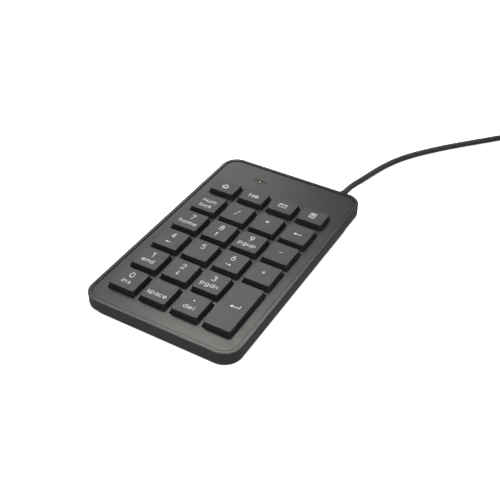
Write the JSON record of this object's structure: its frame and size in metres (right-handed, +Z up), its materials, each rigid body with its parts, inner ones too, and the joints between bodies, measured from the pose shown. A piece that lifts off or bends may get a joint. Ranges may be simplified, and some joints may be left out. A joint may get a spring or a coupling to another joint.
{
  "type": "numeric keypad",
  "caption": "Slim wired numeric keypad with sprung keys, a low housing on rubber feet, an indicator lamp and a USB cable that ends in a coil and plug.",
  "frame": {"origin": "on the table, under the centre of the housing", "axes": "+X to the user's right, +Y away from the user towards the cable, +Z up"},
  "size_m": [0.2006, 0.2938, 0.013],
  "materials": {
    "shell_plastic": "satin charcoal, fine texture",
    "tray_plastic": "matt black, fine texture",
    "key_plastic": "satin charcoal top with off-white legend",
    "frame_plastic": "natural black moulding",
    "spring_wire": "drawn wire",
    "dome_silicone": "translucent white silicone",
    "membrane_film": "clear polyester film",
    "sheet_metal": "mill finish sheet",
    "circuit_board": "green solder mask",
    "chip_resin": "moulded resin",
    "connector_nylon": "cream nylon",
    "led_resin": "clear resin",
    "lens_clear": "pale green light guide",
    "cable_jacket": "soft black jacket",
    "relief_rubber": "moulded black rubber",
    "screw_steel_black": "black zinc",
    "screw_steel": "bright zinc",
    "foot_rubber": "matt black rubber",
    "tie_strap": "hook-and-loop strap",
    "plug_vinyl": "moulded vinyl",
    "plug_steel": "nickel plated",
    "plug_nylon": "white nylon",
    "contact_gold": "gold flashed"
  },
  "bodies": {
    "housing": {"top_cover": "shell_plastic", "base_cover": "tray_plastic", "key_frame": "frame_plastic", "rubber_dome_sheet": "dome_silicone", "rubber_domes": "dome_silicone", "membrane_top_film": "membrane_film", "membrane_spacer": "membrane_film", "membrane_bottom_film": "membrane_film", "support_plate": "sheet_metal", "controller_board": "circuit_board", "controller_chip": "chip_resin", "cable_connector": "connector_nylon", "indicator_led": "led_resin", "indicator_lens": "lens_clear", "inner_lead": "cable_jacket", "strain_relief": "relief_rubber", "case_screws": "screw_steel_black", "board_screws": "screw_steel", "frame_screws": "screw_steel", "rubber_feet": "foot_rubber", "usb_cable": "cable_jacket", "usb_cable_coil": "cable_jacket", "cable_tie": "tie_strap", "plug_grip": "plug_vinyl", "plug_shell": "plug_steel", "plug_insulator": "plug_nylon", "plug_contacts": "contact_gold"},
    "key_0": {"key_0": "key_plastic"},
    "key_space": {"key_space": "key_plastic"},
    "key_decimal": {"key_decimal": "key_plastic"},
    "key_enter": {"key_enter": "key_plastic"},
    "key_1": {"key_1": "key_plastic"},
    "key_2": {"key_2": "key_plastic"},
    "key_3": {"key_3": "key_plastic"},
    "key_4": {"key_4": "key_plastic"},
    "key_5": {"key_5": "key_plastic"},
    "key_6": {"key_6": "key_plastic"},
    "key_plus": {"key_plus": "key_plastic"},
    "key_7": {"key_7": "key_plastic"},
    "key_8": {"key_8": "key_plastic"},
    "key_9": {"key_9": "key_plastic"},
    "key_minus": {"key_minus": "key_plastic"},
    "key_num_lock": {"key_num_lock": "key_plastic"},
    "key_divide": {"key_divide": "key_plastic"},
    "key_multiply": {"key_multiply": "key_plastic"},
    "key_backspace": {"key_backspace": "key_plastic"},
    "key_home_page": {"key_home_page": "key_plastic"},
    "key_tab": {"key_tab": "key_plastic"},
    "key_mail": {"key_mail": "key_plastic"},
    "key_calculator": {"key_calculator": "key_plastic"},
    "enter_wire": {"enter_stabiliser_wire": "spring_wire"}
  },
  "joints": [
    {"name": "key_0_press", "type": "slide", "parent": "housing", "child": "key_0", "axis": [0, 0, -1], "range_m": [0, 0.0022], "stiffness_N_per_m": 140, "springref_m": -0.002, "deforming": ["rubber_domes"]},
    {"name": "key_space_press", "type": "slide", "parent": "housing", "child": "key_space", "axis": [0, 0, -1], "range_m": [0, 0.0022], "stiffness_N_per_m": 140, "springref_m": -0.002, "deforming": ["rubber_domes"]},
    {"name": "key_decimal_press", "type": "slide", "parent": "housing", "child": "key_decimal", "axis": [0, 0, -1], "range_m": [0, 0.0022], "stiffness_N_per_m": 140, "springref_m": -0.002, "deforming": ["rubber_domes"]},
    {"name": "key_enter_press", "type": "slide", "parent": "housing", "child": "key_enter", "axis": [0, 0, -1], "range_m": [0, 0.0022], "stiffness_N_per_m": 140, "springref_m": -0.002, "deforming": ["rubber_domes"]},
    {"name": "key_1_press", "type": "slide", "parent": "housing", "child": "key_1", "axis": [0, 0, -1], "range_m": [0, 0.0022], "stiffness_N_per_m": 140, "springref_m": -0.002, "deforming": ["rubber_domes"]},
    {"name": "key_2_press", "type": "slide", "parent": "housing", "child": "key_2", "axis": [0, 0, -1], "range_m": [0, 0.0022], "stiffness_N_per_m": 140, "springref_m": -0.002, "deforming": ["rubber_domes"]},
    {"name": "key_3_press", "type": "slide", "parent": "housing", "child": "key_3", "axis": [0, 0, -1], "range_m": [0, 0.0022], "stiffness_N_per_m": 140, "springref_m": -0.002, "deforming": ["rubber_domes"]},
    {"name": "key_4_press", "type": "slide", "parent": "housing", "child": "key_4", "axis": [0, 0, -1], "range_m": [0, 0.0022], "stiffness_N_per_m": 140, "springref_m": -0.002, "deforming": ["rubber_domes"]},
    {"name": "key_5_press", "type": "slide", "parent": "housing", "child": "key_5", "axis": [0, 0, -1], "range_m": [0, 0.0022], "stiffness_N_per_m": 140, "springref_m": -0.002, "deforming": ["rubber_domes"]},
    {"name": "key_6_press", "type": "slide", "parent": "housing", "child": "key_6", "axis": [0, 0, -1], "range_m": [0, 0.0022], "stiffness_N_per_m": 140, "springref_m": -0.002, "deforming": ["rubber_domes"]},
    {"name": "key_plus_press", "type": "slide", "parent": "housing", "child": "key_plus", "axis": [0, 0, -1], "range_m": [0, 0.0022], "stiffness_N_per_m": 140, "springref_m": -0.002, "deforming": ["rubber_domes"]},
    {"name": "key_7_press", "type": "slide", "parent": "housing", "child": "key_7", "axis": [0, 0, -1], "range_m": [0, 0.0022], "stiffness_N_per_m": 140, "springref_m": -0.002, "deforming": ["rubber_domes"]},
    {"name": "key_8_press", "type": "slide", "parent": "housing", "child": "key_8", "axis": [0, 0, -1], "range_m": [0, 0.0022], "stiffness_N_per_m": 140, "springref_m": -0.002, "deforming": ["rubber_domes"]},
    {"name": "key_9_press", "type": "slide", "parent": "housing", "child": "key_9", "axis": [0, 0, -1], "range_m": [0, 0.0022], "stiffness_N_per_m": 140, "springref_m": -0.002, "deforming": ["rubber_domes"]},
    {"name": "key_minus_press", "type": "slide", "parent": "housing", "child": "key_minus", "axis": [0, 0, -1], "range_m": [0, 0.0022], "stiffness_N_per_m": 140, "springref_m": -0.002, "deforming": ["rubber_domes"]},
    {"name": "key_num_lock_press", "type": "slide", "parent": "housing", "child": "key_num_lock", "axis": [0, 0, -1], "range_m": [0, 0.0022], "stiffness_N_per_m": 140, "springref_m": -0.002, "deforming": ["rubber_domes"]},
    {"name": "key_divide_press", "type": "slide", "parent": "housing", "child": "key_divide", "axis": [0, 0, -1], "range_m": [0, 0.0022], "stiffness_N_per_m": 140, "springref_m": -0.002, "deforming": ["rubber_domes"]},
    {"name": "key_multiply_press", "type": "slide", "parent": "housing", "child": "key_multiply", "axis": [0, 0, -1], "range_m": [0, 0.0022], "stiffness_N_per_m": 140, "springref_m": -0.002, "deforming": ["rubber_domes"]},
    {"name": "key_backspace_press", "type": "slide", "parent": "housing", "child": "key_backspace", "axis": [0, 0, -1], "range_m": [0, 0.0022], "stiffness_N_per_m": 140, "springref_m": -0.002, "deforming": ["rubber_domes"]},
    {"name": "key_home_page_press", "type": "slide", "parent": "housing", "child": "key_home_page", "axis": [0, 0, -1], "range_m": [0, 0.0022], "stiffness_N_per_m": 140, "springref_m": -0.002, "deforming": ["rubber_domes"]},
    {"name": "key_tab_press", "type": "slide", "parent": "housing", "child": "key_tab", "axis": [0, 0, -1], "range_m": [0, 0.0022], "stiffness_N_per_m": 140, "springref_m": -0.002, "deforming": ["rubber_domes"]},
    {"name": "key_mail_press", "type": "slide", "parent": "housing", "child": "key_mail", "axis": [0, 0, -1], "range_m": [0, 0.0022], "stiffness_N_per_m": 140, "springref_m": -0.002, "deforming": ["rubber_domes"]},
    {"name": "key_calculator_press", "type": "slide", "parent": "housing", "child": "key_calculator", "axis": [0, 0, -1], "range_m": [0, 0.0022], "stiffness_N_per_m": 140, "springref_m": -0.002, "deforming": ["rubber_domes"]},
    {"name": "enter_wire_rock", "type": "hinge", "parent": "key_enter", "child": "enter_wire", "pos_m": [0.0331, -0.04425, 0.0102], "axis": [0, 1, 0], "range_deg": [0, 16.2]}
  ],
  "couplings": [
    {"joint": "enter_wire_rock", "follows": "key_enter_press", "rad_per_m": 126.2}
  ]
}
